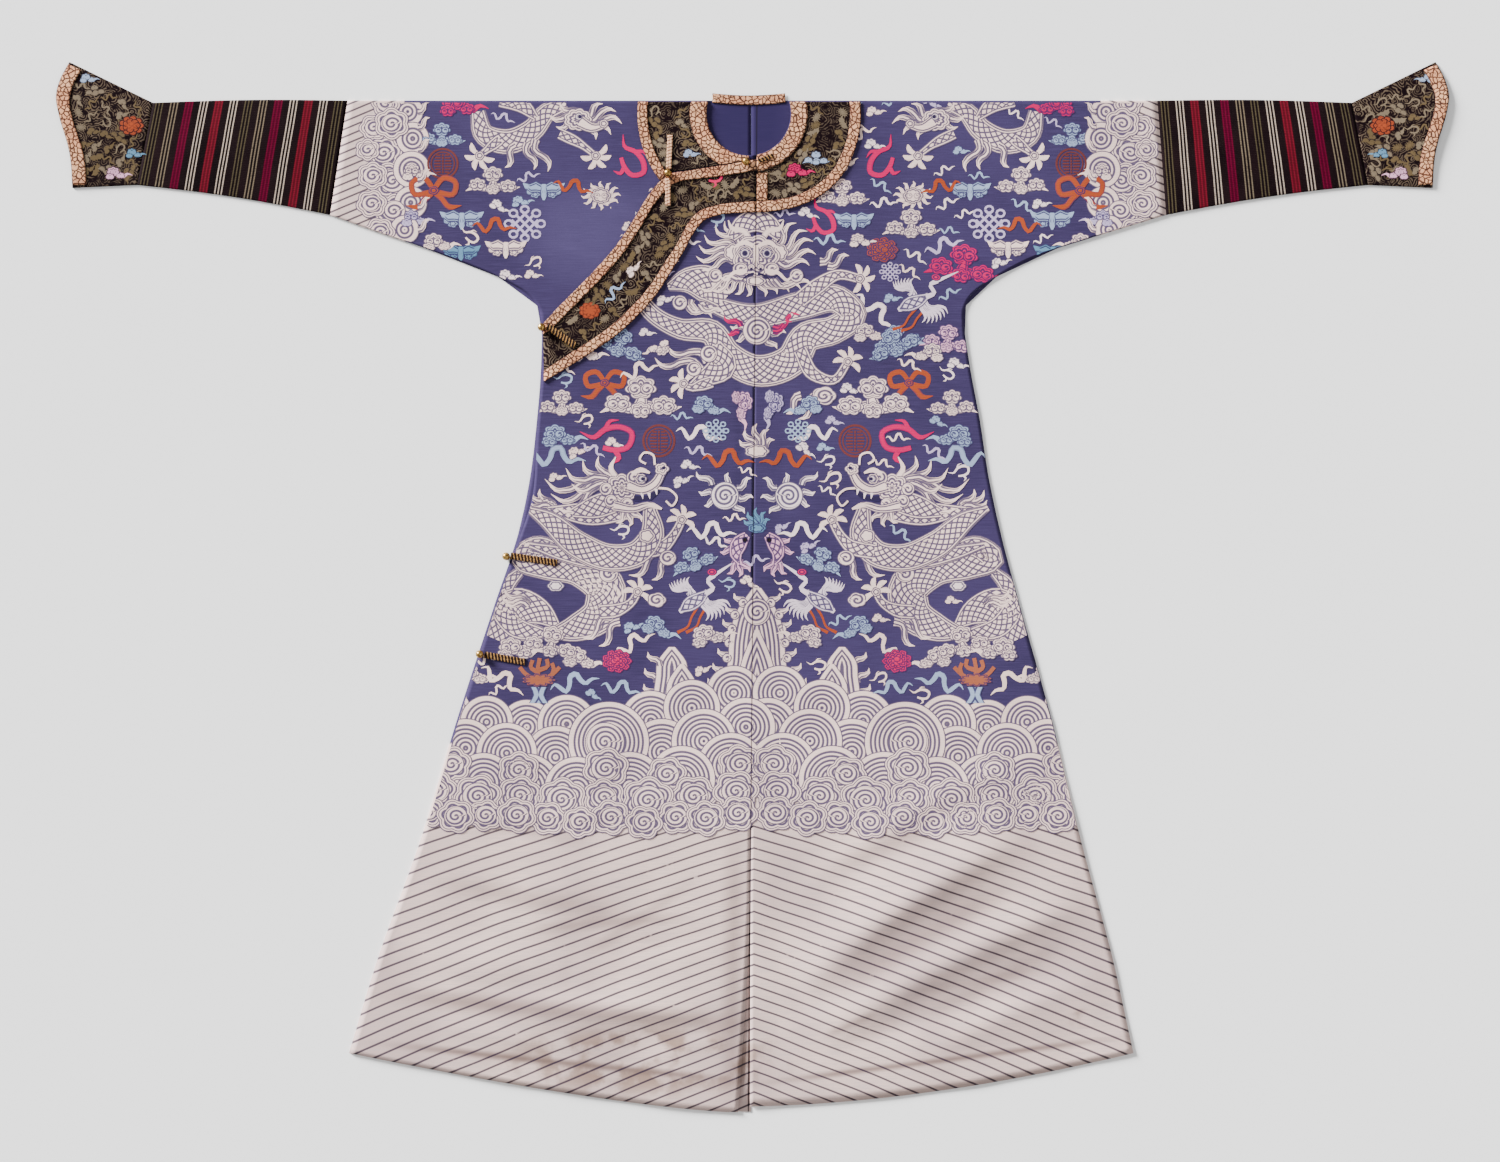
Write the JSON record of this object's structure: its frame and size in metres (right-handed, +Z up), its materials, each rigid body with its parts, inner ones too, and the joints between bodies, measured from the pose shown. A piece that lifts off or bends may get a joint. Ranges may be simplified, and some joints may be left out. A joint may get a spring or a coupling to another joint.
{
  "type": "dragon robe",
  "caption": "Full-length silk court robe with dragon and wave design, side-closing overlap, striped sleeves and flared cuffs, laid flat.",
  "frame": {"origin": "on the table under the middle of the robe's overall box", "axes": "+Z up off the table, +Y from hem to collar, +X towards the wearer's left cuff"},
  "size_m": [1.912, 1.442, 0.0179],
  "materials": {
    "blue_silk": "violet-blue silk with a silvery woven design",
    "wave_silk": "silvery silk with thin slanting lines",
    "dark_silk": "near-black silk with a grey-gold woven design",
    "striped_silk": "near-black silk with thin cream, magenta, coral and olive stripes",
    "ribbon": "peach ribbon with thin dark crackle lines",
    "loop_cloth": "narrow dark and gold cloth strips",
    "brass": "old brass, softly polished"
  },
  "bodies": {
    "root": {"body_left": "blue_silk", "body_right": "blue_silk", "overlap_front": "wave_silk", "sleeve_left": "striped_silk", "sleeve_right": "striped_silk", "cuff_left": "dark_silk", "cuff_right": "dark_silk", "ribbon_cuff_left": "ribbon", "ribbon_cuff_right": "ribbon", "facing_left": "dark_silk", "facing_right": "dark_silk", "band_overlap": "dark_silk", "ribbon_neck_left": "ribbon", "ribbon_neck_right": "ribbon", "ribbon_neck_back": "ribbon", "ribbon_collar_left": "ribbon", "ribbon_collar_right": "ribbon", "ribbon_divider": "ribbon", "ribbon_band_upper": "ribbon", "ribbon_band_lower": "ribbon", "button_neck": "brass", "button_collar": "brass", "button_underarm": "brass", "button_side_upper": "brass", "button_side_lower": "brass", "strip_neck": "ribbon", "strip_collar_upper": "ribbon", "strip_collar_lower": "ribbon", "strip_underarm": "loop_cloth", "strip_side_upper": "loop_cloth", "strip_side_lower": "loop_cloth"}
  },
  "joints": []
}
